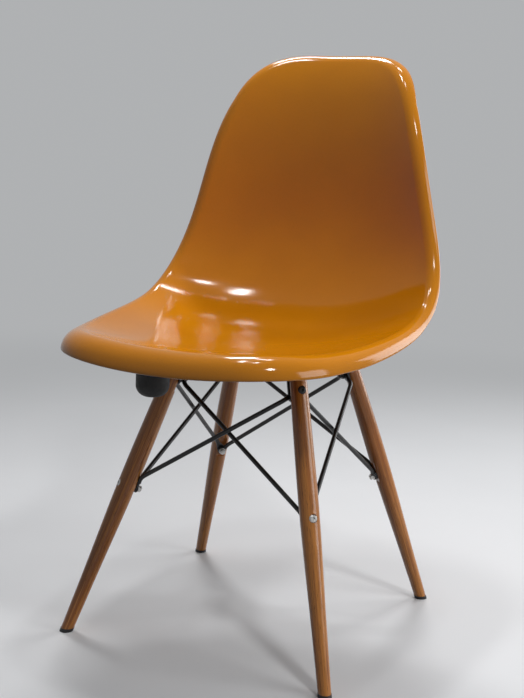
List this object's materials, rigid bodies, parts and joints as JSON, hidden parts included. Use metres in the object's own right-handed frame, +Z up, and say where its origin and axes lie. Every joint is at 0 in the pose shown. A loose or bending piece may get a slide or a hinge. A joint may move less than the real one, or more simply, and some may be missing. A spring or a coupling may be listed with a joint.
{
  "type": "moulded shell chair",
  "caption": "Moulded plastic shell chair, seat and back in one piece, on four splayed wooden legs braced by crossing steel rods.",
  "frame": {"origin": "on the floor, under the middle of the chair's overall width and depth", "axes": "+X to the right as seen from in front of the chair, +Y towards its back, +Z up"},
  "size_m": [0.4514, 0.5634, 0.8314],
  "materials": {
    "shell_plastic": "polished moulded orange",
    "leg_wood": "turned hardwood, satin lacquer",
    "base_black": "satin black powder coat",
    "fastener_black": "black oxide",
    "fastener_steel": "zinc plated",
    "mount_rubber": "matt moulded",
    "glide_plastic": "matt moulded"
  },
  "bodies": {
    "root": {"brace_rod_front_left_to_front_right": "base_black", "brace_rod_front_left_to_rear_left": "base_black", "brace_rod_front_right_to_front_left": "base_black", "brace_rod_front_right_to_rear_right": "base_black", "brace_rod_rear_left_to_front_left": "base_black", "brace_rod_rear_left_to_rear_right": "base_black", "brace_rod_rear_right_to_front_right": "base_black", "brace_rod_rear_right_to_rear_left": "base_black", "front_left_bracket": "base_black", "front_left_glide": "glide_plastic", "front_left_leg": "leg_wood", "front_left_shock_mount": "mount_rubber", "front_right_bracket": "base_black", "front_right_glide": "glide_plastic", "front_right_leg": "leg_wood", "front_right_shock_mount": "mount_rubber", "glide_nails": "fastener_steel", "mid_bolts": "fastener_steel", "mid_nuts": "fastener_steel", "mid_washers": "fastener_steel", "mount_inserts": "fastener_steel", "mount_screws": "fastener_black", "mount_washers": "fastener_black", "rear_left_bracket": "base_black", "rear_left_glide": "glide_plastic", "rear_left_leg": "leg_wood", "rear_left_shock_mount": "mount_rubber", "rear_right_bracket": "base_black", "rear_right_glide": "glide_plastic", "rear_right_leg": "leg_wood", "rear_right_shock_mount": "mount_rubber", "seat_bumper": "mount_rubber", "seat_shell": "shell_plastic", "top_bolts": "fastener_black", "top_nuts": "fastener_black", "top_washers": "fastener_black"}
  },
  "joints": []
}
